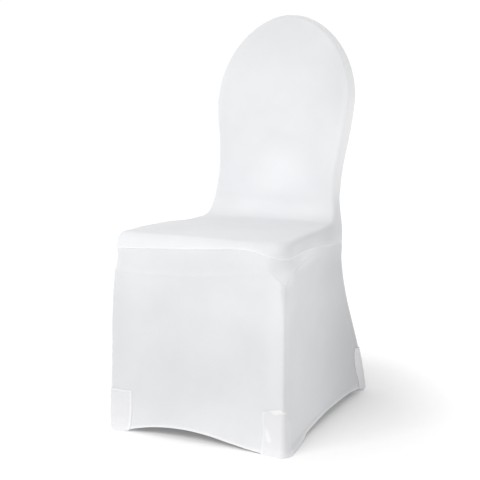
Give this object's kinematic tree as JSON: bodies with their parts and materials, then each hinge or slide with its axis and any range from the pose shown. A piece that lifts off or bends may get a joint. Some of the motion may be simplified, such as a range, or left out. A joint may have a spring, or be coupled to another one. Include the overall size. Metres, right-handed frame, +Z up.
{
  "type": "fitted stretch chair cover",
  "caption": "Fitted white stretch-knit cover for a round-backed banquet chair, worn to the floor, with foot pockets and arched hems.",
  "frame": {"origin": "on the floor, under the middle of the cover's bounding box", "axes": "+Z up, -Y towards the front of the chair, +X to the right as seen from the front"},
  "size_m": [0.43, 0.5386, 0.9261],
  "materials": {
    "knit_inside_back_and_seat": "matte",
    "knit_outside_back": "matte",
    "knit_skirt": "matte",
    "knit_foot_pocket_front_left": "matte",
    "knit_foot_pocket_front_right": "matte",
    "knit_foot_pocket_rear_left": "matte",
    "knit_foot_pocket_rear_right": "matte"
  },
  "bodies": {
    "root": {"inside_back_and_seat": "knit_inside_back_and_seat", "outside_back": "knit_outside_back", "skirt": "knit_skirt", "foot_pocket_front_left": "knit_foot_pocket_front_left", "foot_pocket_front_right": "knit_foot_pocket_front_right", "foot_pocket_rear_left": "knit_foot_pocket_rear_left", "foot_pocket_rear_right": "knit_foot_pocket_rear_right"}
  },
  "joints": []
}
